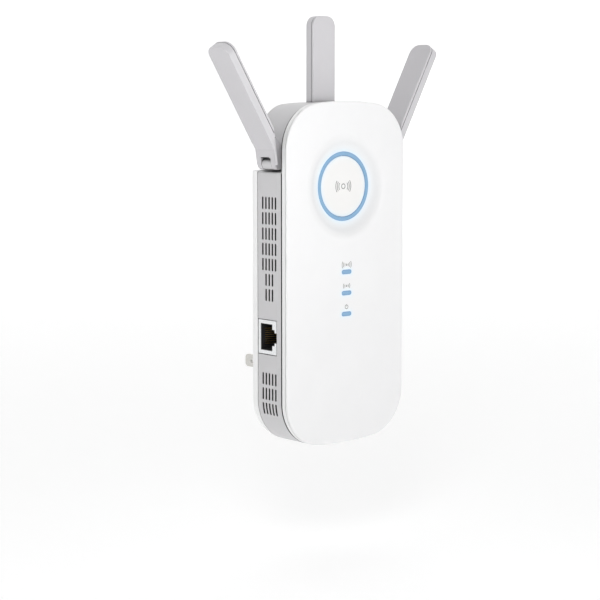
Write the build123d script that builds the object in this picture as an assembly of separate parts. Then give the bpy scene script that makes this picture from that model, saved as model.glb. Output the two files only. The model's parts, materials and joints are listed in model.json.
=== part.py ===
from build123d import *
from math import atan2, cos, radians, sin, sqrt, tan
import os

# Plug-in wifi range extender with three folding antennas. Millimetres.
# The origin is the centre of the plug face, between the two blades.
# +Y points at the wall outlet, +Z is up, and +X is to the right as seen from the front.

# ---- body ----
body_width = 76.4
body_height = 163.0
body_bottom = -33.0
body_top = body_bottom + body_height
corner_radius = 22.0
arch_radius = 190.0
front_y = -49.0
cover_seam_y = -45.44
rear_seam_y = -28.63
back_y = -20.5
front_seam_gap = 0.8
rear_seam_gap = 0.36
wall = 2.0
cover_wall = 1.1
cover_plate = 1.8
cover_edge_radius = 0.5
groove_y = (-48.3, -47.95)
groove_depth = 0.3
lip_overlap = 0.7
lip_wall = 0.78
fit_gap = 0.12
rear_edge_radius = 7.0
ledge_edge_radius = 1.2

# ---- antenna bay: the narrower top of the body, behind the front cover ----
ledge_z = 97.7
bay_half_width = 31.2
bay_top = body_top - 0.5
bay_corner = 15.5
bay_wall = 1.6
bay_edge_radius = 3.0
collar_inset = 0.4
collar_y = (-45.69, -44.75)
nest_half_width = 7.7
nest_floor_z = 104.6
nest_wall_y = -34.0
outside_box = ((-60, 60), (-60, 10), (-60, 200))

# ---- antennas and their hinges ----
blade_width = 14.2
blade_thickness = 5.2
blade_length = 55.0
blade_tip_radius = 4.8
blade_lean = 23.5
blade_wall = 1.2
outer_shell_depth = 3.7
shell_gap = 0.3
tongue_wall = 0.7
neck_length = 7.6
neck_reach = 4.2
neck_corner = 0.8
edge_round = 0.4
relief_plate = 1.0
relief_half = 5.5
blade_cavity_start = 12.0
element_depth = (1.25, 2.05)
element_margin = 1.2
pad_size = (3.2, 14.0)
pad_places = (22.0, 40.0)
pad_thickness = 0.1
fork_slot_half = 3.45
fork_slot_top = 3.65
knuckle_radius = 2.5
knuckle_half = 3.27
knuckle_web_top = 0.6
pin_radius = 1.0
pin_half = 5.1
pin_clearance = 0.05
foot_half_y = 4.2
foot_half_z = 4.6
foot_thickness = 1.5
side_axis_x = 37.7
side_axis_y = -37.3
side_axis_z = 101.1
knuckle_reach = side_axis_x - bay_half_width
left_splay = 32.3
right_splay = 29.2
centre_axis_y = nest_wall_y + knuckle_reach
centre_axis_z = 108.0

# ---- ring light and its button ----
ring_z = 89.86
ring_mid_radius = 15.46
ring_stroke = 1.9
dish_radius = 25.4
dish_depth = 2.5
dish_flat_radius = 17.0
dish_wall = 1.3
guide_depth = 2.3
guide_flange = 0.9
guide_flange_width = 1.8
button_gap = 0.15
button_plate = 1.3
button_depth = 2.8
button_wall = 1.2
button_edge_round = 0.25
button_stem_radius = 1.4
button_stem_end = -44.55
tab_turns = (90, 210, 330)
tab_half_width = 1.5
tab_reach = 16.06
tab_depth = (2.42, 2.8)
switch_half = 2.6
switch_height = 1.2
plunger_radius = 1.2
plunger_depth = 0.8
plunger_well = 0.8
ring_led_count = 6
ring_led_size = (1.2, 0.55, 1.6)

# ---- status lights ----
status_z = (49.3, 39.2, 29.17)
pill_length = 6.3
pill_height = 2.1
pipe_bar_half = 3.6
pipe_bar_end = 2.0
pipe_bar_depth = (1.9, 2.9)
pipe_led_gap = 0.9
status_led_size = (1.6, 0.6, 0.8)

# ---- side vents ----
vent_columns = (-32.29, -34.54, -36.79, -39.04, -41.29)
vent_length = 5.78
vent_width = 1.05
vent_pitch = 7.168
upper_vent_top = 85.91
lower_vent_top = 3.22
upper_full_rows = 5
upper_short_rows = 2
lower_rows = 3

# ---- network jack ----
jack_y = (-41.7, -28.97)
jack_z = (12.11, 28.13)
jack_depth = 21.5
jack_sheet = 0.3
jack_cavity_y = (-38.45, -30.9)
jack_cavity_half = 6.0
jack_cavity_depth = 14.0
jack_mid_z = (jack_z[0] + jack_z[1]) / 2
jack_gap = 0.35
jack_hole_end = -30.0
jack_recess = 0.1
jack_lip = 0.3
latch_step_y = -40.05
latch_step_half = 3.5
latch_slot_half = 2.4
insert_gap = 0.02
insert_short = 0.6
contact_count = 8
contact_pitch = 1.02
contact_length = 8.4
contact_slant = 17.0
contact_wire = 0.38
contact_start = (2.2, 0.2)
magnetics_x = (-12.5, -2.5)
magnetics_height = 4.2

# ---- side buttons ----
power_button_z = 21.5
led_button_z = 31.5
side_button_y = -36.8
side_button_proud = 0.5
side_button_size = (7.0, 3.6)
side_button_gap = 0.12
side_button_flange = 0.6
side_button_round = 0.3
side_plunger_radius = 0.8
side_plunger_gap = 0.15
side_switch_half = 2.3
reset_z = 40.0
reset_radius = 0.9

# ---- boards ----
board_y = (-42.9, -41.7)
board_margin = 3.2
psu_board_y = (-26.4, -24.8)
psu_board_x = 23.0
psu_board_z = (-23.0, 40.0)
power_wire_x = (-3.0, 3.0)
power_wire_z = 36.5
power_wire_radius = 0.8
mains_wire_radius = 0.9
board_shoulder_z = 95.0
board_tongue = ((-26, 26), (90, 119))
sheet_half = 23.2
sheet_y = (-28.4, -28.0)
sheet_z = (-24, 42)
sheet_hole_radius = 1.1

# ---- electronics ----
shield_x = ((-25, -5), (5, 25))
shield_z = (93, 111)
shield_height = 2.0
shield_sheet = 0.3
processor_x = (-8, 8)
processor_z = (62, 78)
processor_height = 1.2
pad_height = 0.5
memory_x = ((-14, -5), (8, 17))
memory_z = (40, 53)
memory_height = 1.1
sink_half = 17
sink_z = (49, 87)
sink_plate = 1.6
sink_height = 8.0
fin_pitch = 4
fin_half = 0.5
fin_count = 9
connector_x = (-21, 0, 21)
connector_z = 114
connector_radius = 1.3
connector_height = 1.2
coax_radius = 0.6
side_cable_y = -36.5
centre_cable_y = -38.9
core_x = (-8.5, 8.5)
core_z = (12, 27)
core_height = 13
winding_x = (-6, 6)
winding_z = (14, 25)
winding_height = (3, 14)
bulk_capacitor = (4.0, 10, -9)
bulk_capacitor_x = (-13, 13)
output_capacitor = (3.2, 8, 25)
output_capacitor_x = 14.5
choke_place = (-15.5, 27)
choke_height = 4.2
choke_radii = (2.6, 1.3)
choke_base = (6.0, 3.3, 2.8)
rectifier_x = (12, 20)
rectifier_z = (2, 8)
rectifier_height = 2.6
fuse_radius = 1.7
fuse_x = -17
fuse_z = (-0.5, 8.5)

# ---- plug ----
housing_base_half = 30.0
housing_face_half = 12.4
housing_base_z = (-27.0, 42.0)
housing_face_z = (-15.0, 17.0)
housing_wall = 2.0
blade_spacing = 12.7
prong_thickness = 1.5
prong_width = 6.35
prong_length = 17.5
prong_inner = 9.0
prong_hole_radius = 1.6
prong_slot_gap = 0.25
prong_tip_chamfer = 1.2
prong_hole_back = 5.5
carrier_half_x = 9.3
carrier_half_z = 6.0
carrier_depth = 5.0
housing_corner = 9
housing_relief = 0.4

# ---- screws ----
column_places = ((-32.6, 90.8), (32.6, 90.8), (-26.6, -20.6), (26.6, -20.6))
column_radius = 3.3
case_screw_radius = 1.25
case_screw_grip = 5.5
case_head_radius = 2.2
case_head_height = 1.6
case_head_sink = 3.5
case_head_well_radius = 2.4
case_well_radius = 3.2
case_well_end = -10.0
cross_half_length = 1.4
cross_half_width = 0.25
cross_depth = 0.7
board_screw_radius = 1.0
board_screw_grip = 5.0
board_head_radius = 1.9
board_head_height = 1.0
screw_gap = 0.01

half_width = body_width / 2
ring_y = front_y + dish_depth
ring_inner = ring_mid_radius - ring_stroke / 2
ring_outer = ring_mid_radius + ring_stroke / 2


# ---- basic shapes ----
def block(x, y, z):
    """Box between the pairs of limits x, y and z."""
    middle = Pos((x[0] + x[1]) / 2, (y[0] + y[1]) / 2, (z[0] + z[1]) / 2)
    return middle * Box(abs(x[1] - x[0]), abs(y[1] - y[0]), abs(z[1] - z[0]))


def rod_x(radius, x, y, z):
    return Pos((x[0] + x[1]) / 2, y, z) * Rot(0, 90, 0) * Cylinder(radius, x[1] - x[0])


def rod_y(radius, x, y, z):
    return Pos(x, (y[0] + y[1]) / 2, z) * Rot(90, 0, 0) * Cylinder(radius, y[1] - y[0])


def rod_z(radius, x, y, z):
    return Pos(x, y, (z[0] + z[1]) / 2) * Cylinder(radius, z[1] - z[0])


def front_plane(y):
    """Plane at depth y that faces the front, with local x, y along X and Z."""
    return Plane(origin=(0, y, 0), x_dir=(1, 0, 0), z_dir=(0, -1, 0))


def slab(face, y):
    """A flat outline in X and Z, made solid between the two depths y."""
    return extrude(front_plane(y[1]) * face, amount=y[1] - y[0])


def one_solid(shape):
    """The largest solid of a shape, without stray slivers."""
    return max(shape.solids(), key=lambda solid: solid.volume)


# ---- body outlines ----
def arched_outline(half, low, high, corner, inset=0.0):
    """Upright rounded rectangle whose top and bottom edges are slightly arched."""
    side = half - inset
    radius = corner - inset
    arch = arch_radius - inset
    centre_x = half - corner
    drop = arch_radius - sqrt((arch_radius - corner) ** 2 - centre_x ** 2)
    turn = atan2(centre_x, arch_radius - drop)
    joint_x = arch * sin(turn)
    joint_drop = arch_radius - arch * cos(turn)
    middle_turn = (turn + radians(90)) / 2
    edges = []
    for end, sign in ((high, 1), (low, -1)):
        centre_z = end - sign * drop
        joint = end - sign * joint_drop
        edges.append(ThreePointArc((-joint_x, joint), (0, end - sign * inset), (joint_x, joint)))
        for hand in (-1, 1):
            middle = (hand * (centre_x + radius * sin(middle_turn)),
                      centre_z + sign * radius * cos(middle_turn))
            edges.append(ThreePointArc((hand * joint_x, joint), middle, (hand * side, centre_z)))
    for hand in (-1, 1):
        edges.append(Line((hand * side, low + drop), (hand * side, high - drop)))
    return make_face(edges)


def body_outline(inset=0.0):
    return arched_outline(half_width, body_bottom, body_top, corner_radius, inset)


def bay_outline(inset=0.0):
    return arched_outline(bay_half_width, ledge_z - 40, bay_top, bay_corner, inset)


def below_ledge(drop=0.0):
    x, y, z = outside_box
    return block(x, y, (z[0], ledge_z - drop))


# ---- covers ----
def dish_cutter():
    """Round dish with a flat floor and a smooth S-shaped rim."""
    rim = (dish_radius, 0)
    floor = (dish_flat_radius, -dish_depth)
    half_way = ((rim[0] + floor[0]) / 2, -dish_depth / 2)
    upper = TangentArc(rim, half_way, tangent=(-1, 0))
    lower = TangentArc(half_way, floor, tangent=upper % 1)
    closing = Polyline(floor, (0, -dish_depth), (0, 1), (dish_radius, 1), rim)
    profile = make_face([upper, lower, *closing.edges()])
    dish = revolve(Plane.XZ * profile, Axis.Z)
    return Pos(0, front_y, ring_z) * Rot(90, 0, 0) * dish


def pills(y, grow=0.0):
    """The three status lights as solids between two depths."""
    shapes = []
    for z in status_z:
        outline = SlotOverall(pill_length + 2 * grow, pill_height + 2 * grow)
        shapes.append(slab(Pos(0, z) * outline, y))
    return shapes


def front_cover():
    """Shallow front shell with a fine groove round its rim and the dish of the ring light."""
    rear = cover_seam_y - front_seam_gap / 2
    shell = slab(body_outline(), (front_y, rear))
    crease = shell.faces().sort_by(Axis.Y)[0].edges()
    shell = fillet(crease, cover_edge_radius)
    shell -= slab(body_outline(-1) - body_outline(groove_depth), groove_y)
    shell -= slab(body_outline(cover_wall), (front_y + cover_plate, rear + 1))
    boss_rear = ring_y + dish_wall
    shell += rod_y(dish_radius + 1.2, 0, (front_y + 1, boss_rear), ring_z)
    shell -= dish_cutter()
    shell -= rod_y(ring_outer + 0.05, 0, (front_y - 1, boss_rear + 1), ring_z)
    for hole in pills((front_y - 1, rear), 0.05):
        shell -= hole
    return one_solid(shell)


def lip_ring(y):
    """Thin locating ring just inside the walls of a cover."""
    inset = cover_wall + fit_gap
    return slab(body_outline(inset) - body_outline(inset + lip_wall), y)


def front_lip():
    """Lip that stands forward into the front cover."""
    return lip_ring((cover_seam_y - front_seam_gap / 2 - lip_overlap, collar_y[1]))


def collar():
    """Flange round the front of the bay, which closes the back of the wider front cover."""
    flange = slab(body_outline(collar_inset) - bay_outline(bay_wall), collar_y)
    return flange - below_ledge(wall)


def rear_lip():
    """Lip that stands back into the rear cover."""
    rear = rear_seam_y - rear_seam_gap / 2
    return lip_ring((rear - wall, rear + rear_seam_gap + lip_overlap)) & below_ledge(wall)


def vent_slot(side, y, z_top, depth):
    """One upright vent slot with round ends, cut into a side wall to a depth."""
    face = Pos(y, z_top - vent_length / 2) * SlotOverall(vent_length, vent_width, rotation=90)
    outer = side * (half_width + 0.5)
    plane = Plane(origin=(outer, 0, 0), x_dir=(0, 1, 0), z_dir=(1, 0, 0))
    return extrude(plane * face, amount=-side * (depth + 0.5))


def side_vents(side):
    """Slots of one side wall. The left has extra rows without the first and last slot."""
    cuts = []
    short_rows = upper_short_rows if side < 0 else 0
    for row in range(upper_full_rows + short_rows):
        top = upper_vent_top - row * vent_pitch
        for index, y in enumerate(vent_columns):
            outer_column = index in (0, len(vent_columns) - 1)
            if row < upper_full_rows or not outer_column:
                cuts.append(vent_slot(side, y, top, wall + 1))
    for row in range(lower_rows):
        top = lower_vent_top - row * vent_pitch
        for y in vent_columns:
            cuts.append(vent_slot(side, y, top, wall + 1 + 2 * row))
    return cuts


def columns(y, radius):
    return [rod_y(radius, x, y, z) for x, z in column_places]


def nest_space(grow):
    """Recess in the back of the bay where the centre antenna folds away."""
    half = nest_half_width + grow
    return block((-half, half), (nest_wall_y - grow, 0), (nest_floor_z - grow, body_top + wall))


def middle_frame():
    """Silver frame: the side walls, the ledge of the side antennas and the antenna bay."""
    front = cover_seam_y + front_seam_gap / 2
    rear = rear_seam_y - rear_seam_gap / 2
    body = slab(body_outline(), (front, rear)) & below_ledge()
    body = fillet(body.edges().filter_by(Axis.Y).group_by(Axis.Z)[-1], ledge_edge_radius)
    bay = slab(bay_outline(), (front, back_y))
    bay = fillet(bay.faces().sort_by(Axis.Y)[-1].edges(), bay_edge_radius)
    bay -= block((-60, 60), (rear, 10), (-60, ledge_z + rear_seam_gap))
    frame = body + bay
    inside = slab(body_outline(wall), (front - 1, rear + 1)) & below_ledge(wall)
    inside += slab(bay_outline(bay_wall), (front - 1, back_y - bay_wall))
    nest = nest_space(0)
    inside -= nest_space(bay_wall)
    frame = frame - inside - nest
    frame = frame + front_lip() + rear_lip() + collar()
    for column in columns((board_y[1] + 0.02, rear), column_radius):
        frame += column & slab(body_outline(0.5), outside_box[1])
    for hole in columns((board_y[1] - 1, board_y[1] + 6), board_screw_radius):
        frame -= hole
    for hole in columns((rear - 6.5, rear + 1), case_screw_radius):
        frame -= hole
    for place in hinge_places():
        frame -= place * hinge_opening()
    frame -= block((-half_width - 1, jack_hole_end), (jack_y[0] - jack_gap, rear + wall),
                   (jack_z[0] - jack_gap, jack_z[1] + jack_gap))
    for z in (power_button_z, led_button_z):
        frame -= side_button_shape(z, (half_width - wall - 1, half_width + 1), side_button_gap)
    frame -= rod_x(reset_radius, (30, half_width + 1), side_button_y, reset_z)
    for side in (-1, 1):
        for cut in side_vents(side):
            frame -= cut
    return one_solid(frame)


def housing(inset, face_y):
    """Tapered plug housing from the back of the body to the plug face."""
    base_y = back_y - 0.5
    sections = []
    for y, half, z in ((base_y, housing_base_half, housing_base_z),
                       (face_y, housing_face_half, housing_face_z)):
        outline = RectangleRounded(2 * (half - inset), z[1] - z[0] - 2 * inset,
                                   housing_corner - inset)
        sections.append(front_plane(y) * Pos(0, (z[0] + z[1]) / 2) * outline)
    return loft(sections)


def prong_slots(y, grow):
    slots = []
    for side in (-1, 1):
        x = side * blade_spacing / 2
        half_x = prong_thickness / 2 + grow
        half_z = prong_width / 2 + grow
        slots.append(block((x - half_x, x + half_x), y, (-half_z, half_z)))
    return slots


def rear_cover():
    """Rear shell with the tapered plug housing, blade slots and screw wells."""
    front = rear_seam_y + rear_seam_gap / 2
    shell = slab(body_outline(), (front, back_y))
    shell = fillet(shell.faces().sort_by(Axis.Y)[-1].edges(), rear_edge_radius)
    shell = shell & below_ledge()
    cavity = slab(body_outline(wall), (front - 1, back_y - wall))
    cavity = fillet(cavity.faces().sort_by(Axis.Y)[-1].edges(), rear_edge_radius - wall)
    cavity = cavity & below_ledge(wall)
    envelope = shell + housing(0, 0)
    shell = envelope - cavity
    lip_room = slab(body_outline(cover_wall), (front - 1, front + lip_overlap + 0.3))
    shell -= lip_room & below_ledge(cover_wall)
    shell -= housing(housing_wall + housing_relief, -housing_wall)
    shell -= block((-20, 20), (back_y - wall - 0.6, back_y + 0.4), (-16, 30))
    for slot in prong_slots((-5, 1), prong_slot_gap):
        shell -= slot
    for well in columns((front + 0.6, case_well_end), case_well_radius):
        shell += well & envelope
    for hole in columns((front - 1, back_y + 1), case_screw_radius + 0.2):
        shell -= hole
    for sink in columns((back_y - case_head_sink, case_well_end), case_head_well_radius):
        shell -= sink
    return one_solid(shell)


# ---- ring light, button and status lights ----
def ring_light_guide():
    """Clear ring with a flange behind the dish."""
    rear = ring_y + guide_depth
    guide = rod_y(ring_outer, 0, (ring_y, rear), ring_z)
    guide += rod_y(ring_outer + guide_flange_width, 0, (rear - guide_flange, rear), ring_z)
    return guide - rod_y(ring_inner, 0, (ring_y - 1, rear + 1), ring_z)


def retaining_tabs():
    """Three short tabs that hold the button behind the ring."""
    tabs = []
    for turn in tab_turns:
        tab = block((0, tab_reach), (ring_y + tab_depth[0], ring_y + tab_depth[1]),
                    (-tab_half_width, tab_half_width))
        tabs.append(Pos(0, 0, ring_z) * Rot(0, -turn, 0) * tab)
    return tabs


def extender_button():
    """Round cap with a stem that reaches the switch plunger."""
    radius = ring_inner - button_gap
    rear = ring_y + button_depth
    button = rod_y(radius, 0, (ring_y, rear), ring_z)
    button = fillet(button.faces().sort_by(Axis.Y)[0].edges(), button_edge_round)
    for tab in retaining_tabs():
        button += tab
    button -= rod_y(radius - button_wall, 0, (ring_y + button_plate, rear + 1), ring_z)
    button += rod_y(button_stem_radius, 0, (ring_y + button_plate / 2, button_stem_end), ring_z)
    return one_solid(button)


def switch_body():
    """Low tactile switch on the front of the board, with a well for its plunger."""
    front = board_y[0] - switch_height
    body = block((-switch_half, switch_half), (front, board_y[0]), (-switch_half, switch_half))
    well = rod_y(plunger_radius + 0.1, 0, (front - 0.1, front + plunger_well), 0)
    return Pos(0, 0, ring_z) * (body - well)


def extender_plunger():
    return rod_y(plunger_radius, 0, (button_stem_end, button_stem_end + plunger_depth), ring_z)


def ring_leds():
    """Small lamps on the board, one under each stretch of the ring."""
    lamps = []
    wide, tall, long = ring_led_size
    lamp = Pos(ring_mid_radius, board_y[0] - tall / 2, 0) * Box(wide, tall, long)
    for index in range(ring_led_count):
        lamps.append(Pos(0, 0, ring_z) * Rot(0, index * 360 / ring_led_count, 0) * lamp)
    return lamps


def status_light_pipe():
    """Three clear pills on one bar behind the front cover."""
    bar_y = (front_y + pipe_bar_depth[0], front_y + pipe_bar_depth[1])
    bar = block((-pipe_bar_half, pipe_bar_half), bar_y,
                (status_z[-1] - pipe_bar_end, status_z[0] + pipe_bar_end))
    for lens in pills((front_y + 0.05, board_y[0] - pipe_led_gap)):
        bar += lens
    return one_solid(bar)


def status_leds():
    wide, tall, high = status_led_size
    return [Pos(0, board_y[0] - tall / 2, z) * Box(wide, tall, high) for z in status_z]


# ---- antennas ----
def blade_frame():
    """Plane of the blade: local x across it, y along it, z from outer to inner face."""
    lean = radians(blade_lean)
    return Plane(origin=(0, 0, neck_length), x_dir=(0, 1, 0), z_dir=(cos(lean), 0, sin(lean)))


def blade_plate(depth, inset, start):
    """Round-tipped plate of the blade between two depths from its outer face."""
    half = blade_width / 2 - inset
    length = blade_length - inset - start
    outline = Pos(0, start + length / 2) * Rectangle(2 * half, length)
    tips = outline.vertices().group_by(Axis.Y)[-1]
    outline = fillet(tips, max(blade_tip_radius - inset, 1))
    low = depth[0] - blade_thickness / 2
    return extrude(blade_frame().offset(low) * outline, amount=depth[1] - depth[0])


def neck():
    """Fork neck: straight from the hinge, then bent outwards into the blade."""
    half = blade_thickness / 2
    lean = radians(blade_lean)
    mitre = half * tan(lean / 2)
    along = (-sin(lean) * neck_reach, neck_length + cos(lean) * neck_reach)
    across = (half * cos(lean), half * sin(lean))
    inner_end = (along[0] + across[0], along[1] + across[1])
    outer_end = (along[0] - across[0], along[1] - across[1])
    side = Polyline((-half, 0), (half, 0), (half, neck_length + mitre), inner_end, outer_end,
                    (-half, neck_length - mitre), (-half, 0))
    stem = slab(make_face(side.edges()), (-blade_width / 2, blade_width / 2))
    outer_edges = [edge for edge in stem.edges().filter_by(Plane.XZ)
                   if edge.center().X < -half + 0.01 and edge.length > 3]
    stem = fillet(outer_edges, neck_corner)
    foot = slab(Circle(half), (neck_corner - blade_width / 2, blade_width / 2 - neck_corner))
    return stem + foot


def neck_relief():
    """Space beside the neck: behind its outer plate, the antenna is narrower."""
    cuts = []
    low = relief_plate - blade_thickness / 2
    for side in (-1, 1):
        cuts.append(block((low, 20), (side * relief_half, side * 10), (-5, 30)))
    return cuts


def antenna_outer_shell():
    shell = blade_plate((0, outer_shell_depth), 0, neck_reach - 0.5)
    shell = fillet(shell.faces().sort_by(Axis(blade_frame().origin, blade_frame().z_dir))[0]
                   .edges().filter_by_position(Axis.Z, neck_length + 5, 100), edge_round)
    shell += neck()
    shell -= blade_plate((blade_wall, blade_thickness), blade_wall, blade_cavity_start)
    for cut in neck_relief():
        shell -= cut
    shell -= block((-5, 5), (-fork_slot_half, fork_slot_half), (-4, fork_slot_top))
    shell -= rod_y(pin_radius, 0, (-pin_half, pin_half), 0)
    return one_solid(shell)


def antenna_inner_shell():
    start = neck_reach + shell_gap
    lid = blade_plate((outer_shell_depth + shell_gap, blade_thickness), 0, start)
    lid = fillet(lid.faces().sort_by(Axis(blade_frame().origin, blade_frame().z_dir))[-1]
                 .edges(), edge_round)
    tongue_depth = (outer_shell_depth - 0.9, outer_shell_depth + shell_gap + 0.1)
    tongue = blade_plate(tongue_depth, blade_wall + fit_gap, blade_cavity_start + fit_gap)
    tongue -= blade_plate((0, blade_thickness), blade_wall + fit_gap + tongue_wall,
                          blade_cavity_start + fit_gap + tongue_wall)
    lid += tongue
    for cut in neck_relief():
        lid -= cut
    return one_solid(lid)


def antenna_element():
    """Printed dipole board inside the blade."""
    board = blade_plate(element_depth, blade_wall + element_margin,
                        blade_cavity_start + element_margin)
    pads = []
    for along in pad_places:
        pad = Pos(0, along) * Rectangle(*pad_size)
        low = element_depth[1] - blade_thickness / 2
        pads.append(extrude(blade_frame().offset(low) * pad, amount=pad_thickness))
    return one_solid(board + pads)


def hinge_pin():
    """Pin of the fork, a hair shorter and thinner than its bore."""
    return rod_y(pin_radius - 0.01, 0, (-pin_half + 0.1, pin_half - 0.1), 0)


def hinge_block():
    """Fixed knuckle: a barrel on a web that passes through the bay wall to a foot."""
    foot_x = knuckle_reach + bay_wall
    block_shape = rod_y(knuckle_radius, 0, (-knuckle_half, knuckle_half), 0)
    block_shape += block((0, foot_x + 0.5), (-knuckle_half, knuckle_half),
                         (-knuckle_radius, knuckle_web_top))
    block_shape += block((foot_x + 0.05, foot_x + foot_thickness), (-foot_half_y, foot_half_y),
                         (-foot_half_z, foot_half_z))
    return block_shape - rod_y(pin_radius + pin_clearance, 0, (-9, 9), 0)


def hinge_opening():
    """Window in the bay wall for the web of a hinge block."""
    return block((knuckle_reach - 1, knuckle_reach + bay_wall + 1),
                 (-knuckle_half - fit_gap, knuckle_half + fit_gap),
                 (-knuckle_radius - fit_gap, knuckle_web_top + fit_gap))


def hinge_places():
    """Left, right and centre hinge positions. Local -X points away from the body."""
    return (Pos(-side_axis_x, side_axis_y, side_axis_z),
            Pos(side_axis_x, side_axis_y, side_axis_z) * Rot(0, 0, 180),
            Pos(0, centre_axis_y, centre_axis_z) * Rot(0, 0, -90))


def antennas():
    """Every piece of the three antennas, as they stand."""
    names = ("left", "right", "centre")
    outward = (left_splay - blade_lean, right_splay - blade_lean, -blade_lean)
    pieces = {}
    for name, place, turn in zip(names, hinge_places(), outward):
        stand = place * Rot(0, -turn, 0)
        pieces[name + "_antenna_outer_shell"] = stand * antenna_outer_shell()
        pieces[name + "_antenna_inner_shell"] = stand * antenna_inner_shell()
        pieces[name + "_antenna_element"] = stand * antenna_element()
        pieces[name + "_hinge_pin"] = stand * hinge_pin()
        pieces[name + "_hinge_block"] = place * hinge_block()
    return pieces


# ---- network jack ----
def jack_window(x, y, half):
    return block(x, y, (jack_mid_z - half, jack_mid_z + half))


def jack_cavity(x):
    """Plug cavity with its two-step latch notch towards the front."""
    cavity = jack_window(x, jack_cavity_y, jack_cavity_half)
    cavity += jack_window(x, (latch_step_y, jack_cavity_y[1]), latch_step_half)
    return cavity + jack_window(x, (jack_y[0] - 1, jack_cavity_y[1]), latch_slot_half)


def network_jack_shell():
    """Folded metal shell, open at the back, with the plug window at the mouth."""
    x = (-half_width + jack_recess, -half_width + jack_depth)
    shell = block(x, jack_y, jack_z)
    inner_y = (jack_y[0] + jack_sheet, jack_y[1] - jack_sheet)
    inner_z = (jack_z[0] + jack_sheet, jack_z[1] - jack_sheet)
    shell -= block((x[0] + jack_sheet, x[1] + 1), inner_y, inner_z)
    mouth = (x[0] - 1, x[0] + 1)
    window_y = (jack_cavity_y[0] - jack_lip, jack_cavity_y[1] + jack_lip)
    shell -= jack_window(mouth, window_y, jack_cavity_half + jack_lip)
    shell -= jack_window(mouth, (latch_step_y - jack_lip, window_y[1]), latch_step_half + jack_lip)
    return shell - jack_window(mouth, (jack_y[0] - 1, window_y[1]), latch_slot_half)


def network_jack_insert():
    """Black plastic insert with the plug cavity."""
    margin = jack_sheet + insert_gap
    x = (-half_width + jack_recess + margin, -half_width + jack_depth - insert_short)
    insert = block(x, (jack_y[0] + margin, jack_y[1] - margin),
                   (jack_z[0] + margin, jack_z[1] - margin))
    return insert - jack_cavity((x[0] - 1, x[0] + jack_cavity_depth))


def network_jack_contacts():
    """Eight sprung contact wires, slanting away from the rear wall of the cavity."""
    wires = []
    start_x, start_gap = contact_start
    middle_x = -half_width + start_x + contact_length / 2
    middle_y = jack_cavity_y[1] - start_gap - contact_length / 2 * sin(radians(contact_slant))
    wire = Rot(0, 0, -contact_slant) * Box(contact_length, contact_wire, contact_wire)
    for index in range(contact_count):
        z = jack_mid_z + (index - (contact_count - 1) / 2) * contact_pitch
        wires.append(Pos(middle_x, middle_y, z) * wire)
    return wires


def on_board(x, height, z):
    """Box that stands on the rear of the main board."""
    return block(x, (board_y[1], board_y[1] + height), z)


def jack_magnetics():
    return on_board(magnetics_x, magnetics_height, jack_z)


# ---- side buttons ----
def side_button_shape(z, x, grow=0.0):
    long, high = side_button_size
    face = Pos(side_button_y, z) * SlotOverall(long + 2 * grow, high + 2 * grow)
    plane = Plane(origin=(x[0], 0, 0), x_dir=(0, 1, 0), z_dir=(1, 0, 0))
    return extrude(plane * face, amount=x[1] - x[0])


def side_button(z):
    """Small pill-shaped push button with a flange inside the wall."""
    inner_face = half_width - wall
    cap = side_button_shape(z, (inner_face - 0.8, half_width + side_button_proud))
    cap = fillet(cap.faces().sort_by(Axis.X)[-1].edges(), side_button_round)
    flange = side_button_shape(z, (inner_face - 0.9, inner_face - 0.1), side_button_flange)
    return cap + flange


def side_plunger(z):
    inner_face = half_width - wall
    return rod_x(side_plunger_radius, (inner_face - 2.0, inner_face - 0.9), side_button_y, z)


def side_switch(z):
    """Right-angle tactile switch on the rear of the board, behind its button."""
    inner_face = half_width - wall
    body = block((inner_face - 5.0, inner_face - 1.5), (board_y[1], side_button_y + 2.2),
                 (z - side_switch_half, z + side_switch_half))
    well_radius = side_plunger_radius + side_plunger_gap
    return body - rod_x(well_radius, (inner_face - 3.2, inner_face), side_button_y, z)


# ---- electronics ----
def main_board():
    """Board with a narrower tongue that reaches up into the antenna bay."""
    x, y, z = outside_box
    board = slab(body_outline(board_margin), board_y) & block(x, y, (z[0], board_shoulder_z))
    board += block(board_tongue[0], board_y, board_tongue[1])
    for hole in columns((board_y[0] - 1, board_y[1] + 1), board_screw_radius + 0.15):
        board -= hole
    return one_solid(board)


def radio_shields():
    """Two sheet-metal cans over the radios."""
    cans = []
    inner_z = (shield_z[0] + shield_sheet, shield_z[1] - shield_sheet)
    for x in shield_x:
        inner_x = (x[0] + shield_sheet, x[1] - shield_sheet)
        can = on_board(x, shield_height, shield_z)
        cans.append(can - on_board(inner_x, shield_height - shield_sheet, inner_z))
    return cans


def wifi_processor():
    return on_board(processor_x, processor_height, processor_z)


def memory_chips():
    return [on_board(x, memory_height, memory_z) for x in memory_x]


def thermal_pad():
    low = board_y[1] + processor_height
    return block(processor_x, (low, low + pad_height), processor_z)


def heat_sink():
    """Finned plate on the processor."""
    low = board_y[1] + processor_height + pad_height
    sink = block((-sink_half, sink_half), (low, low + sink_plate), sink_z)
    for index in range(fin_count):
        x = (index - (fin_count - 1) / 2) * fin_pitch
        fin_y = (low + sink_plate / 2, low + sink_height)
        sink += block((x - fin_half, x + fin_half), fin_y, sink_z)
    return sink


def radio_connectors():
    y = (board_y[1], board_y[1] + connector_height)
    return [rod_y(connector_radius, x, y, connector_z) for x in connector_x]


def coax(points, radius):
    """Round cable along straight runs joined by arcs."""
    path = FilletPolyline(*points, radius=radius)
    section = Plane(origin=path @ 0, z_dir=path % 0) * Circle(coax_radius)
    return sweep(section, path)


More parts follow.
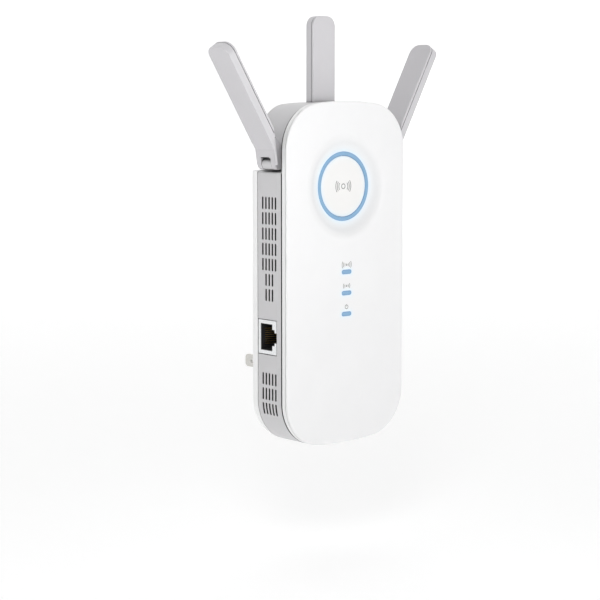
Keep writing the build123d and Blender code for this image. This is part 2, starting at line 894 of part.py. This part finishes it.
def side_cable(side):
    """Cable from the board to the hinge of a side antenna."""
    start = (side * connector_x[-1], board_y[1] + connector_height, connector_z)
    rise = (start[0], side_cable_y, connector_z)
    turn = (side * 25.5, side_cable_y, 108)
    drop = (side * 25.5, side_cable_y, 102.5)
    return coax((start, rise, turn, drop, (side * 27.4, side_cable_y, 101)), 1.6)


def centre_cable():
    """Cable from the board to the hinge of the centre antenna."""
    start = (0, board_y[1] + connector_height, connector_z)
    rise = (0, centre_cable_y, connector_z)
    return coax((start, rise, (0, centre_cable_y, 110.3), (0, -37.75, 108.8)), 0.9)


# ---- power supply ----
def on_supply(x, height, z):
    """Box that stands on the rear of the power supply board."""
    return block(x, (psu_board_y[1], psu_board_y[1] + height), z)


def psu_board():
    return block((-psu_board_x, psu_board_x), psu_board_y, psu_board_z)


def insulating_sheet():
    """Thin sheet between the two boards, with holes for the low-voltage wires."""
    sheet = block((-sheet_half, sheet_half), sheet_y, sheet_z)
    for x in power_wire_x:
        sheet -= rod_y(sheet_hole_radius, x, (sheet_y[0] - 1, sheet_y[1] + 1), power_wire_z)
    return sheet


def transformer():
    low = psu_board_y[1]
    winding_y = (low + winding_height[0], low + winding_height[1])
    return on_supply(core_x, core_height, core_z) + block(winding_x, winding_y, winding_z)


def capacitors():
    """Two bulk capacitors and the smaller output capacitor."""
    low = psu_board_y[1]
    radius, height, z = bulk_capacitor
    cans = [rod_y(radius, x, (low, low + height), z) for x in bulk_capacitor_x]
    radius, height, z = output_capacitor
    return cans + [rod_y(radius, output_capacitor_x, (low, low + height), z)]


def filter_choke():
    """Ring core lying on a small base."""
    x, z = choke_place
    length, height, depth = choke_base
    ring = Pos(x, psu_board_y[1] + choke_height, z) * Torus(*choke_radii)
    base = on_supply((x - length / 2, x + length / 2), height, (z - depth / 2, z + depth / 2))
    return ring + base


def bridge_rectifier():
    return on_supply(rectifier_x, rectifier_height, rectifier_z)


def fuse():
    return rod_z(fuse_radius, fuse_x, psu_board_y[1] + fuse_radius, fuse_z)


def power_wires():
    """Two low-voltage wires from the power supply board to the main board."""
    y = (board_y[1], psu_board_y[0])
    return [rod_y(power_wire_radius, x, y, power_wire_z) for x in power_wire_x]


def mains_wires():
    """Two mains wires from the inner ends of the blades to the board."""
    y = (psu_board_y[1], -prong_inner)
    return [rod_y(mains_wire_radius, side * blade_spacing / 2, y, 0) for side in (-1, 1)]


def blade_carrier():
    """Moulded block that holds both blades inside the housing."""
    low = -housing_wall - insert_gap
    carrier = block((-carrier_half_x, carrier_half_x), (low - carrier_depth, low),
                    (-carrier_half_z, carrier_half_z))
    for slot in prong_slots((-prong_inner, 0), 0.0):
        carrier -= slot
    return carrier


def plug_blades():
    """Two flat blades with a hole near each tip and chamfered corners."""
    blades = []
    for side in (-1, 1):
        x = side * blade_spacing / 2
        blade = block((x - prong_thickness / 2, x + prong_thickness / 2),
                      (-prong_inner, prong_length), (-prong_width / 2, prong_width / 2))
        tip = blade.edges().filter_by(Axis.X).group_by(Axis.Y)[-1]
        blade = chamfer(tip, prong_tip_chamfer)
        hole = rod_x(prong_hole_radius, (x - 2, x + 2), prong_length - prong_hole_back, 0)
        blades.append(blade - hole)
    return blades


# ---- screws ----
def cross_recess(x, y, z):
    cross = block((x - cross_half_length, x + cross_half_length), y,
                  (z - cross_half_width, z + cross_half_width))
    return cross + block((x - cross_half_width, x + cross_half_width), y,
                         (z - cross_half_length, z + cross_half_length))


def case_screws():
    """Four screws sunk into the rear cover."""
    screws = []
    low = back_y - case_head_sink
    top = low + case_head_height
    for x, z in column_places:
        head = rod_y(case_head_radius, x, (low, top), z)
        shank = rod_y(case_screw_radius - screw_gap, x, (rear_seam_y - case_screw_grip, low), z)
        screws.append(head + shank - cross_recess(x, (top - cross_depth, top + 1), z))
    return screws


def board_screws():
    """Four screws that hold the main board to the frame."""
    screws = []
    for x, z in column_places:
        head = rod_y(board_head_radius, x, (board_y[0] - board_head_height, board_y[0]), z)
        shank = rod_y(board_screw_radius - screw_gap, x,
                      (board_y[0], board_y[1] + board_screw_grip), z)
        screws.append(head + shank)
    return screws


def all_parts():
    parts = {
        "front_cover": front_cover(),
        "middle_frame": middle_frame(),
        "rear_cover": rear_cover(),
        "extender_button": extender_button(),
        "ring_light_guide": ring_light_guide(),
        "status_light_pipe": status_light_pipe(),
        "extender_switch": switch_body(),
        "extender_plunger": extender_plunger(),
        "ring_leds": ring_leds(),
        "status_leds": status_leds(),
        "network_jack_shell": network_jack_shell(),
        "network_jack_insert": network_jack_insert(),
        "network_jack_contacts": network_jack_contacts(),
        "jack_magnetics": jack_magnetics(),
        "power_button": side_button(power_button_z),
        "power_plunger": side_plunger(power_button_z),
        "power_switch": side_switch(power_button_z),
        "led_button": side_button(led_button_z),
        "led_plunger": side_plunger(led_button_z),
        "led_switch": side_switch(led_button_z),
        "reset_switch": side_switch(reset_z),
        "main_board": main_board(),
        "radio_shields": radio_shields(),
        "wifi_processor": wifi_processor(),
        "memory_chips": memory_chips(),
        "thermal_pad": thermal_pad(),
        "heat_sink": heat_sink(),
        "radio_connectors": radio_connectors(),
        "left_antenna_cable": side_cable(-1),
        "right_antenna_cable": side_cable(1),
        "centre_antenna_cable": centre_cable(),
        "psu_board": psu_board(),
        "insulating_sheet": insulating_sheet(),
        "transformer": transformer(),
        "capacitors": capacitors(),
        "filter_choke": filter_choke(),
        "bridge_rectifier": bridge_rectifier(),
        "fuse": fuse(),
        "power_wires": power_wires(),
        "mains_wires": mains_wires(),
        "blade_carrier": blade_carrier(),
        "plug_blades": plug_blades(),
        "case_screws": case_screws(),
        "board_screws": board_screws(),
    }
    parts.update(antennas())
    return parts


def main():
    os.makedirs("parts", exist_ok=True)
    for name, shape in all_parts().items():
        solids = list(shape) if isinstance(shape, (list, ShapeList)) else [shape]
        piece = solids[0] if len(solids) == 1 else Compound(children=solids)
        export_step(piece, f"parts/{name}.step")


main()
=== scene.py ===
import json
from math import atan2, cos, pi, radians, sin

import bpy
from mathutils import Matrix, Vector


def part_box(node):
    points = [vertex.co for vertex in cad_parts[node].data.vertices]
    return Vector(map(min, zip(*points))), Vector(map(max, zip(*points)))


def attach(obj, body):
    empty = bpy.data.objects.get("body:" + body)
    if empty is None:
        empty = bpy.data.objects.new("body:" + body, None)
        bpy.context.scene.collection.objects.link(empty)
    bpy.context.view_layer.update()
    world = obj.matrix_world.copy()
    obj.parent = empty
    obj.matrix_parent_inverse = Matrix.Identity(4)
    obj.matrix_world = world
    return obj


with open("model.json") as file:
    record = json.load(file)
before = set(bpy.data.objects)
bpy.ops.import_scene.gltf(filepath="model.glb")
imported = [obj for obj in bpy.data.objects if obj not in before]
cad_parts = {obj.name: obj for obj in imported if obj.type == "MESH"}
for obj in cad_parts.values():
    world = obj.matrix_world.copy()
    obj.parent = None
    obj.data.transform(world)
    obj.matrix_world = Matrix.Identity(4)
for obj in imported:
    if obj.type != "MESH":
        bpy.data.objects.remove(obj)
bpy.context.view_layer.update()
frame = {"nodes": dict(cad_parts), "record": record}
MM = 0.001

# ---- places taken from the frame ----
ring_low, ring_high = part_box("ring_light_guide")
ring_centre = (ring_low + ring_high) / 2
cover_low, cover_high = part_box("front_cover")
BUTTON_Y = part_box("extender_button")[0].y
BODY_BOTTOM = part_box("rear_cover")[0].z

# ---- sizes of the CAD pieces that the materials follow ----
RING_MID_RADIUS = 15.46 * MM
LAMP_HALF_WIDTH = 0.95 * MM
STATUS_Z = (49.3 * MM, 39.2 * MM, 29.17 * MM)
PILL_LENGTH = 6.3 * MM
PILL_HEIGHT = 2.1 * MM
CORNER = 22 * MM
CORNER_Z = -10.22 * MM
LEDGE_Z = 97.7 * MM
FRAME_FRONT_Y = -45.2 * MM
COLLAR_REAR_Y = -44.85 * MM

# ---- colours ----
WHITE = (0.86, 0.86, 0.865)
WARM_WHITE = (0.865, 0.86, 0.85)
BRIGHT_WHITE = (0.92, 0.92, 0.92)
# painted shade laid into the seams and gaps of the white parts
PAINTED_SHADE_WHITE = (0.24, 0.24, 0.24)
DISH_SHADE = (0.68, 0.68, 0.68)
SILVER = (0.61, 0.605, 0.615)
ANTENNA = (0.60, 0.59, 0.61)
# painted shade: near black for seams, gaps, vent slots and the front collar of the silver parts
PAINTED_SHADE_GREY = (0.02, 0.02, 0.021)
INK_GREY = (0.24, 0.235, 0.23)
TIN = (0.65, 0.65, 0.62)
GLOW = (0.55, 0.80, 1.0)
GLOW_ON_WHITE = (0.52, 0.78, 0.95)
LAMP_CORE = (0.20, 0.37, 0.56)
LAMP_RIM = (0.14, 0.30, 0.52)
PURE_WHITE = (1, 1, 1)
FLOOR_WHITE = (0.93, 0.93, 0.93)

# ---- how far each effect reaches ----
DISH_REACH = 9.0 * MM
# depths below the outer face over which the painted shade in slots and seams fades in
SHADE_DEPTH_RAMP = (0.06 * MM, 0.16 * MM)
COVER_RING_HALO = 1.3 * MM
COVER_PILL_HALO = 0.8 * MM
BUTTON_RING_HALO = 0.9 * MM

# ---- printed marks, in millimetres ----
BUTTON_WAVES = (2.9, 3.9, 4.9)
STATUS_WAVES = (1.2, 2.1, 3.0)
MARK_ABOVE_LIGHT = 3.4
BUTTON_STROKE = 0.42
STATUS_STROKE = 0.32
INK_LIFT = 0.015

# ---- floor, in metres ----
FLOOR_DROP = 60 * MM
FLOOR_FRONT = -14.0
FLOOR_BACK = 2.2
FLOOR_HALF_WIDTH = 14
CURVE_RADIUS = 1.2
CURVE_STEPS = 16
WALL_TOP = 5.0
FLOOR_TURN = radians(42)

# ---- lights: place, size across in metres and power in watts ----
LIGHTS = {
    "key": ((-0.26, -0.27, 0.21), 0.12, 0.34),
    "low_fill": ((-0.22, -0.30, -0.14), 0.10, 0.25),
    "front": ((0.7, -1.2, 0.0), 0.6, 2.4),
    "top": ((0.1, 0.3, 1.5), 1.0, 1.7),
}
LIGHT_TARGET = (0, -0.03, 0.06)
ROOM_LEFT = 0.46
ROOM_RIGHT = 0.78

# ---- camera ----
EYE_PLACE = (-0.5352, -0.6080, 0.1301)
EYE_TILT = 6.95
EYE_TURN = -42.11
LENS = 98.09
SENSOR_WIDTH = 36


# ---- node helpers ----
class Nodes:
    """Short ways to add and join shader nodes in one material."""

    def __init__(self, name):
        self.material = bpy.data.materials.new(name)
        self.material.use_nodes = True
        self.tree = self.material.node_tree
        self.shader = self.tree.nodes["Principled BSDF"]
        self.position = self.add("ShaderNodeTexCoord").outputs["Object"]
        self.x, self.y, self.z = self.add("ShaderNodeSeparateXYZ", {0: self.position}).outputs

    def add(self, kind, inputs=(), **settings):
        node = self.tree.nodes.new(kind)
        for key, value in settings.items():
            setattr(node, key, value)
        for key, value in dict(inputs).items():
            self.put(node.inputs[key], value)
        return node

    def put(self, socket, value):
        if isinstance(value, bpy.types.NodeSocket):
            self.tree.links.new(value, socket)
        else:
            socket.default_value = value

    def give(self, name, value):
        """Sets or joins one input of the surface shader."""
        self.put(self.shader.inputs[name], value)

    def colour(self):
        """The base colour that the material has so far."""
        return self.shader.inputs["Base Color"].links[0].from_socket

    def math(self, operation, a, b=0.0):
        return self.add("ShaderNodeMath", {0: a, 1: b}, operation=operation).outputs[0]

    def length(self, a, b):
        squares = self.math("ADD", self.math("MULTIPLY", a, a), self.math("MULTIPLY", b, b))
        return self.math("SQRT", squares)

    def noise(self, scale, detail=2.0, stretch=None):
        where = self.position
        if stretch is not None:
            where = self.add("ShaderNodeMapping", {"Vector": where, "Scale": stretch}).outputs[0]
        node = self.add("ShaderNodeTexNoise", {"Vector": where, "Scale": scale, "Detail": detail})
        return node.outputs["Fac"]

    def span(self, value, low, high, start=0.0, stop=1.0):
        """Carries a value from start..stop to low..high."""
        node = self.add("ShaderNodeMapRange", {"Value": value, "From Min": start, "From Max": stop,
                                               "To Min": low, "To Max": high})
        return node.outputs[0]

    def mix(self, amount, a, b):
        node = self.add("ShaderNodeMix", {"Factor": amount}, data_type="RGBA")
        self.put(node.inputs[6], a)
        self.put(node.inputs[7], b)
        return node.outputs[2]

    def edges(self, radius):
        """0 on flat stretches and up to 1 on sharp edges."""
        bevel = self.add("ShaderNodeBevel", {"Radius": radius}, samples=4)
        geometry = self.add("ShaderNodeNewGeometry")
        likeness = self.add("ShaderNodeVectorMath", {0: bevel.outputs[0], 1: geometry.outputs["Normal"]},
                            operation="DOT_PRODUCT")
        return self.span(likeness.outputs["Value"], 1.0, 0.0, 0.72, 0.995)

    def openness(self, reach, closed=0.25, clear=0.92):
        """1 on open stretches, falling towards 0 in seams and narrow gaps."""
        node = self.add("ShaderNodeAmbientOcclusion", {"Distance": reach}, samples=8)
        return self.span(node.outputs["AO"], 0.0, 1.0, closed, clear)

    def bump(self, height, distance):
        return self.add("ShaderNodeBump", {"Height": height, "Distance": distance}).outputs[0]


def shade(colour, factor):
    return (*(min(channel * factor, 1) for channel in colour), 1)


def surface(name, colour, rough, metal=0.0, grain=6000, grain_depth=0.004, patch=70, drift=0.02,
            wear=1.06, rough_spread=0.05, edge=0.25, coat=0.0, stretch=None, painted_gap_shade=None, reach=1.1):
    """A general moulded, painted or metal surface: colour drift, grain, patchy gloss and worn edges.

    A colour for painted shade can be given; it is laid into the seams and narrow gaps, where ambient
    occlusion closes in.
    """
    n = Nodes(name)
    patches = n.noise(patch, 3)
    fine = n.noise(grain, 2, stretch)
    medium = n.noise(grain / 6, 3, stretch)
    tint = n.mix(n.span(patches, 0, 1, 0.3, 0.7), shade(colour, 1 - drift), shade(colour, 1 + drift))
    worn = n.edges(edge * MM)
    scuffed = n.math("MULTIPLY", worn, n.span(n.noise(900, 4), 0.35, 1.0, 0.35, 0.65))
    base = n.mix(scuffed, tint, shade(colour, wear))
    # painted shade: seams and narrow gaps are darkened towards this colour by ambient occlusion
    if painted_gap_shade is not None:
        base = n.mix(n.openness(reach * MM), (*painted_gap_shade, 1), base)
    n.give("Base Color", base)
    gloss = n.math("ADD", n.span(patches, -rough_spread, rough_spread, 0.25, 0.75),
                   n.span(medium, rough - rough_spread / 2, rough + rough_spread / 2, 0.25, 0.75))
    n.give("Roughness", n.math("SUBTRACT", gloss, n.math("MULTIPLY", worn, 0.05)))
    n.give("Metallic", metal)
    n.give("Coat Weight", coat)
    n.give("Coat Roughness", 0.18)
    height = n.math("ADD", n.math("MULTIPLY", fine, 0.6), n.math("MULTIPLY", medium, 0.4))
    n.give("Normal", n.bump(height, grain_depth * MM))
    return n


# ---- white plastic and lights ----
def ring_distance(n):
    """Distance from the ring light's middle line, in metres, measured in the front plane."""
    across = n.math("SUBTRACT", n.x, ring_centre.x)
    up = n.math("SUBTRACT", n.z, ring_centre.z)
    return n.math("ABSOLUTE", n.math("SUBTRACT", n.length(across, up), RING_MID_RADIUS))


def pill_distance(n):
    """Distance from the nearest status light's middle line, in metres."""
    half = (PILL_LENGTH - PILL_HEIGHT) / 2
    across = n.math("MAXIMUM", n.math("SUBTRACT", n.math("ABSOLUTE", n.x), half), 0.0)
    top, middle, bottom = (n.length(across, n.math("SUBTRACT", n.z, z)) for z in STATUS_Z)
    return n.math("MINIMUM", n.math("MINIMUM", top, middle), bottom)


def lamp_distance(n):
    """Distance from the nearest lamp's middle line, in metres."""
    return n.math("MINIMUM", ring_distance(n), pill_distance(n))


def halo(n, distance, reach):
    """1 over a lamp, fading out beside it."""
    beyond = n.math("MAXIMUM", n.math("SUBTRACT", distance, LAMP_HALF_WIDTH), 0.0)
    return n.math("EXPONENT", n.math("MULTIPLY", beyond, -1 / reach))


def add_glow(n, amount):
    """Painted light: white plastic beside a lamp is tinted pale blue and given a faint glow of its own.
    """
    n.give("Base Color", n.mix(n.math("MULTIPLY", amount, 0.45), n.colour(), (*GLOW_ON_WHITE, 1)))
    n.give("Emission Color", (*GLOW, 1))
    n.give("Emission Strength", n.math("MULTIPLY", amount, 0.08))


def white_cover():
    n = surface("white_cover", WHITE, 0.34, drift=0.008, grain=5000, grain_depth=0.002, wear=1.05,
                edge=0.4, coat=0.15, painted_gap_shade=PAINTED_SHADE_WHITE)
    # painted shade in the dish around the ring, where ambient occlusion closes in
    n.give("Base Color", n.mix(n.openness(DISH_REACH, 0.80, 0.99), (*DISH_SHADE, 1), n.colour()))
    ring_halo = halo(n, ring_distance(n), COVER_RING_HALO)
    pill_halo = halo(n, pill_distance(n), COVER_PILL_HALO)
    # painted light: a pale blue glow on the cover around the ring and the status lights
    add_glow(n, n.math("MAXIMUM", ring_halo, pill_halo))
    return n


def white_button():
    n = surface("white_button", WARM_WHITE, 0.36, drift=0.008, grain=5000, grain_depth=0.002,
                wear=1.05, edge=0.3)
    # painted light: a pale blue glow on the button beside the ring
    add_glow(n, halo(n, ring_distance(n), BUTTON_RING_HALO))
    return n


def blue_light():
    """Frosted light guide, brighter along its middle and deeper blue at its rims."""
    n = Nodes("blue_light")
    edge_share = n.span(lamp_distance(n), 0.0, 1.0, LAMP_HALF_WIDTH * 0.45, LAMP_HALF_WIDTH * 0.98)
    cloud = n.span(n.noise(700, 3), -0.12, 0.12, 0.3, 0.7)
    mixed = n.mix(n.math("ADD", edge_share, cloud), (*LAMP_CORE, 1), (*LAMP_RIM, 1))
    n.give("Base Color", mixed)
    n.give("Emission Color", mixed)
    n.give("Emission Strength", 0.10)
    n.give("Roughness", n.span(n.noise(3000, 2), 0.28, 0.42, 0.3, 0.7))
    n.give("Normal", n.bump(n.noise(5000, 2), 0.003 * MM))
    return n


# ---- silver paint ----
def depth_inside_body(n):
    """Depth below the outer face of the body's sides and lower corners, in metres."""
    across = n.math("MAXIMUM", n.math("SUBTRACT", n.math("ABSOLUTE", n.x), cover_high.x - CORNER), 0.0)
    down = n.math("MINIMUM", n.math("SUBTRACT", n.z, CORNER_Z), 0.0)
    depth = n.math("SUBTRACT", CORNER, n.length(across, down))
    return n.math("MULTIPLY", depth, n.math("LESS_THAN", n.z, LEDGE_Z - MM))


def silver_frame():
    """Silver paint with painted shade: vent slots, seams, inner faces and the front collar are coloured
    near black, as shade.
    """
    # painted shade: broad darkening near the cover and in the antenna bay, by ambient occlusion reaching
    # 6 mm
    n = surface("silver_frame", SILVER, 0.40, 0.1, grain=4500, grain_depth=0.006, drift=0.02,
                wear=1.1, painted_gap_shade=PAINTED_SHADE_GREY, reach=6.0)
    # painted shade: near black below the outer face, on the walls of the vent slots and seams
    painted_shade_inside = n.span(depth_inside_body(n), 0.0, 1.0, *SHADE_DEPTH_RAMP)
    above_ledge = n.math("GREATER_THAN", n.z, LEDGE_Z - 0.1 * MM)
    shade_stops_y = n.span(above_ledge, FRAME_FRONT_Y, COLLAR_REAR_Y)
    # painted shade: also near black at the front edge of the frame and on the collar above the ledge
    painted_shade_share = n.math("MAXIMUM", painted_shade_inside, n.math("LESS_THAN", n.y, shade_stops_y))
    n.give("Base Color", n.mix(painted_shade_share, n.colour(), (*PAINTED_SHADE_GREY, 1)))
    return n


# ---- circuit boards ----
def board(name, mask, copper):
    """Solder mask over copper runs, with tinned pads in a grid."""
    n = surface(name, mask, 0.35, drift=0.05, grain=3000, grain_depth=0.004)
    bend = n.math("MULTIPLY", n.noise(120, 1), 0.004)
    runs = n.math("SINE", n.math("MULTIPLY", n.math("ADD", n.x, bend), 3200))
    copper_share = n.span(runs, 0, 1, 0.35, 0.5)
    cells = n.add("ShaderNodeTexVoronoi", {"Vector": n.position, "Scale": 420}, distance="CHEBYCHEV")
    pads = n.span(cells.outputs["Distance"], 1, 0, 0.16, 0.2)
    traced = n.mix(n.math("MULTIPLY", copper_share, 0.5), n.colour(), (*copper, 1))
    n.give("Base Color", n.mix(pads, traced, (*TIN, 1)))
    n.give("Metallic", n.math("MULTIPLY", pads, 0.9))
    return n


def circuit_board():
    return board("circuit_board", (0.03, 0.16, 0.08), (0.06, 0.26, 0.12))


def supply_board():
    return board("supply_board", (0.36, 0.24, 0.10), (0.45, 0.31, 0.14))


SPECIAL_SURFACES = {
    "white_cover": white_cover,
    "white_button": white_button,
    "blue_light": blue_light,
    "silver_frame": silver_frame,
    "circuit_board": circuit_board,
    "supply_board": supply_board,
}

PLAIN_SURFACES = {
    "white_back": dict(colour=BRIGHT_WHITE, rough=0.46, drift=0.01, grain=3500, grain_depth=0.012,
                       wear=1.05, edge=0.4, painted_gap_shade=PAINTED_SHADE_WHITE),
    "silver_antenna": dict(colour=ANTENNA, rough=0.38, metal=0.1, grain=4500, grain_depth=0.006,
                           drift=0.015, wear=1.1, edge=0.3, painted_gap_shade=PAINTED_SHADE_GREY, reach=1.6),
    "silver_hinge": dict(colour=SILVER, rough=0.36, metal=0.15, grain=4500, wear=1.1,
                         painted_gap_shade=PAINTED_SHADE_GREY, reach=3.0),
    "black_plastic": dict(colour=(0.02, 0.02, 0.022), rough=0.5, grain=3500, grain_depth=0.01,
                          wear=1.8),
    "switch_metal": dict(colour=(0.62, 0.63, 0.64), rough=0.32, metal=1.0, wear=1.2,
                         stretch=(1, 1, 0.1)),
    "led_lens": dict(colour=(0.8, 0.88, 1.0), rough=0.15, coat=0.5, drift=0.03),
    "jack_metal": dict(colour=(0.84, 0.85, 0.86), rough=0.26, metal=1.0, grain=5000,
                       grain_depth=0.003, wear=1.15, stretch=(1, 1, 0.08)),
    "gold_contact": dict(colour=(0.52, 0.38, 0.18), rough=0.30, metal=1.0, wear=1.1),
    "chip_black": dict(colour=(0.035, 0.035, 0.04), rough=0.55, grain=2500, grain_depth=0.012,
                       wear=1.5),
    "thermal_pad": dict(colour=(0.40, 0.46, 0.56), rough=0.75, grain=2000, grain_depth=0.03),
    "heat_sink": dict(colour=(0.70, 0.71, 0.73), rough=0.34, metal=1.0, grain=3000,
                      stretch=(1, 0.1, 0.05), wear=1.2),
    "cable_sleeve": dict(colour=(0.06, 0.06, 0.065), rough=0.42, wear=1.5),
    "insulating_film": dict(colour=(0.78, 0.78, 0.70), rough=0.25, drift=0.04),
    "transformer_core": dict(colour=(0.72, 0.55, 0.10), rough=0.38, drift=0.08,
                             stretch=(0.1, 1, 0.1)),
    "capacitor_can": dict(colour=(0.05, 0.07, 0.10), rough=0.28, coat=0.3, wear=1.6),
    "choke_core": dict(colour=(0.10, 0.32, 0.14), rough=0.45, drift=0.1),
    "fuse_body": dict(colour=(0.22, 0.10, 0.05), rough=0.3, coat=0.4),
    "wire_red": dict(colour=(0.50, 0.03, 0.03), rough=0.35, wear=1.2),
    "wire_white": dict(colour=(0.78, 0.78, 0.77), rough=0.4, drift=0.03),
    "blade_brass": dict(colour=(0.66, 0.65, 0.62), rough=0.24, metal=1.0, grain=4500, wear=1.12,
                        stretch=(1, 0.06, 1)),
    "screw_steel": dict(colour=(0.56, 0.57, 0.59), rough=0.3, metal=1.0, wear=1.2),
}


def dress_cad_nodes():
    """Gives each CAD node the material of its slot."""
    made = {slot: make().material for slot, make in SPECIAL_SURFACES.items()}
    for slot, values in PLAIN_SURFACES.items():
        made[slot] = surface(slot, **values).material
    for part in frame["record"]["subparts"]:
        mesh = frame["nodes"][part["node"]].data
        mesh.materials.clear()
        mesh.materials.append(made[part["material_slot"]])


def add_object(name, data):
    thing = bpy.data.objects.new(name, data)
    bpy.context.scene.collection.objects.link(thing)
    return thing


def add_mesh(name, vertices, faces, material):
    mesh = bpy.data.meshes.new(name)
    mesh.from_pydata(vertices, [], faces)
    mesh.materials.append(material)
    return add_object(name, mesh)


# ---- printed marks ----
def arc(radius, start, stop, steps=14):
    points = []
    for index in range(steps + 1):
        turn = radians(start + (stop - start) * index / steps)
        points.append((radius * cos(turn), radius * sin(turn)))
    return points


def stroke_corners(points, closed, place, width):
    """Four corners at each point of a stroke: front and back, on both sides of its middle line."""
    corners = []
    count = len(points)
    for index, point in enumerate(points):
        before = points[index - 1] if index or closed else point
        after = points[(index + 1) % count] if index < count - 1 or closed else point
        turn = atan2(after[1] - before[1], after[0] - before[0]) + pi / 2
        for side in (-width / 2, width / 2):
            x = place.x + (point[0] + side * cos(turn)) * MM
            z = place.z + (point[1] + side * sin(turn)) * MM
            corners.append((x, place.y - INK_LIFT * MM, z))
            corners.append((x, place.y + INK_LIFT * MM, z))
    return corners


def stroke_faces(count, closed, first):
    """Faces that join a stroke's corners, which start at number first, with caps on open ends."""
    faces = []
    for index in range(count if closed else count - 1):
        a = first + 4 * index
        b = first + 4 * ((index + 1) % count)
        faces += [(a, b, b + 2, a + 2), (a + 1, a + 3, b + 3, b + 1),
                  (a, a + 1, b + 1, b), (a + 2, b + 2, b + 3, a + 3)]
    if not closed:
        last = first + 4 * (count - 1)
        faces += [(first, first + 2, first + 3, first + 1), (last, last + 1, last + 3, last + 2)]
    return faces


def mark(name, strokes, place, width, material, body):
    """Thin printed strokes just proud of a front-facing surface."""
    vertices = []
    faces = []
    for points, closed in strokes:
        faces += stroke_faces(len(points), closed, len(vertices))
        vertices += stroke_corners(points, closed, place, width)
    piece = add_mesh(name, vertices, faces, material)
    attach(piece, body)
    return piece


def signal_strokes(radii, spread):
    """Arcs on both sides, like waves leaving a transmitter."""
    strokes = []
    for radius in radii:
        strokes.append((arc(radius, -spread, spread), False))
        strokes.append((arc(radius, 180 - spread, 180 + spread), False))
    return strokes


def status_strokes(index):
    """Waves for the first two lights, fewer on the second, and a power mark for the third."""
    if index < 2:
        waves = signal_strokes(STATUS_WAVES[: 3 - index], 32)
        return waves + [(arc(0.34, 0, 340), True)]
    return [(arc(0.95, -240, 60), False), ([(0, 0.15), (0, 1.25)], False)]


def printed_marks():
    ink = surface("grey_ink", INK_GREY, 0.5, grain=4000, drift=0.05).material
    centre = Vector((ring_centre.x, BUTTON_Y, ring_centre.z))
    strokes = signal_strokes(BUTTON_WAVES, 33) + [(arc(1.15, 0, 340), True)]
    button_mark = mark("button_mark", strokes, centre, BUTTON_STROKE, ink, "extender_button")
    for index, z in enumerate(STATUS_Z):
        place = Vector((0, cover_low.y, z + MARK_ABOVE_LIGHT * MM))
        strokes = status_strokes(index)
        status_mark = mark(f"status_mark_{index + 1}", strokes, place, STATUS_STROKE, ink, "body")


# ---- stage ----
def floor_profile():
    """Distance and height along a floor that curves up into a wall."""
    profile = [(FLOOR_FRONT, 0.0), (FLOOR_BACK, 0.0)]
    for step in range(1, CURVE_STEPS + 1):
        turn = radians(90 * step / CURVE_STEPS)
        profile.append((FLOOR_BACK + CURVE_RADIUS * sin(turn), CURVE_RADIUS * (1 - cos(turn))))
    profile.append((FLOOR_BACK + CURVE_RADIUS, WALL_TOP))
    return profile


def floor_with_painted_shadow():
    """Painted shadow on a matt white floor: the floor glows a little, less near the object and more far
    from it.
    """
    n = Nodes("backdrop")
    n.give("Base Color", (*FLOOR_WHITE, 1))
    n.give("Roughness", n.span(n.noise(8, 2), 0.75, 0.85))
    n.give("Emission Color", (*PURE_WHITE, 1))
    away = n.add("ShaderNodeVectorMath", {0: n.position}, operation="LENGTH").outputs["Value"]
    # painted shadow: the floor's own glow is weaker near the object
    n.give("Emission Strength", n.span(away, 0.18, 0.45, 0.2, 3.0))
    return n.material


def backdrop():
    """Pale floor and wall, far behind the object."""
    away = Vector((sin(FLOOR_TURN), cos(FLOOR_TURN), 0))
    across = Vector((away.y, -away.x, 0))
    profile = floor_profile()
    vertices = []
    for distance, height in profile:
        for side in (-FLOOR_HALF_WIDTH, FLOOR_HALF_WIDTH):
            point = away * distance + across * side
            vertices.append((point.x, point.y, BODY_BOTTOM - FLOOR_DROP + height))
    faces = [(2 * i, 2 * i + 1, 2 * i + 3, 2 * i + 2) for i in range(len(profile) - 1)]
    piece = add_mesh("backdrop", vertices, faces, floor_with_painted_shadow())
    piece.data.polygons.foreach_set("use_smooth", [True] * len(faces))


def area_light(name, place, size, power):
    light = bpy.data.lights.new(name, "AREA")
    light.shape = "DISK"
    light.size = size
    light.energy = power
    lamp = add_object(name, light)
    lamp.location = place
    lamp.rotation_mode = "QUATERNION"
    lamp.rotation_quaternion = (Vector(LIGHT_TARGET) - Vector(place)).to_track_quat("-Z", "Y")


def soft_room():
    """White surroundings, a little dimmer on the left than on the right."""
    world = bpy.data.worlds.new("studio")
    world.use_nodes = True
    tree = world.node_tree
    where = tree.nodes.new("ShaderNodeTexCoord")
    split = tree.nodes.new("ShaderNodeSeparateXYZ")
    spread = tree.nodes.new("ShaderNodeMapRange")
    spread.inputs["From Min"].default_value = -1.0
    spread.inputs["To Min"].default_value = ROOM_LEFT
    spread.inputs["To Max"].default_value = ROOM_RIGHT
    tree.links.new(where.outputs["Generated"], split.inputs[0])
    tree.links.new(split.outputs["X"], spread.inputs["Value"])
    background = tree.nodes["Background"]
    background.inputs["Color"].default_value = (*PURE_WHITE, 1)
    tree.links.new(spread.outputs[0], background.inputs["Strength"])
    return world


def studio():
    for name, (place, size, power) in LIGHTS.items():
        area_light(name, place, size, power)
    bpy.context.scene.view_settings.view_transform = "Standard"
    bpy.context.scene.world = soft_room()


def camera():
    """A long lens from the front left, a little above the object."""
    data = bpy.data.cameras.new("camera")
    data.lens = LENS
    data.sensor_width = SENSOR_WIDTH
    data.dof.use_dof = False
    eye = add_object("camera", data)
    eye.location = EYE_PLACE
    eye.rotation_euler = (radians(90 - EYE_TILT), 0, radians(EYE_TURN))
    bpy.context.scene.camera = eye


camera()
dress_cad_nodes()
printed_marks()
backdrop()
studio()
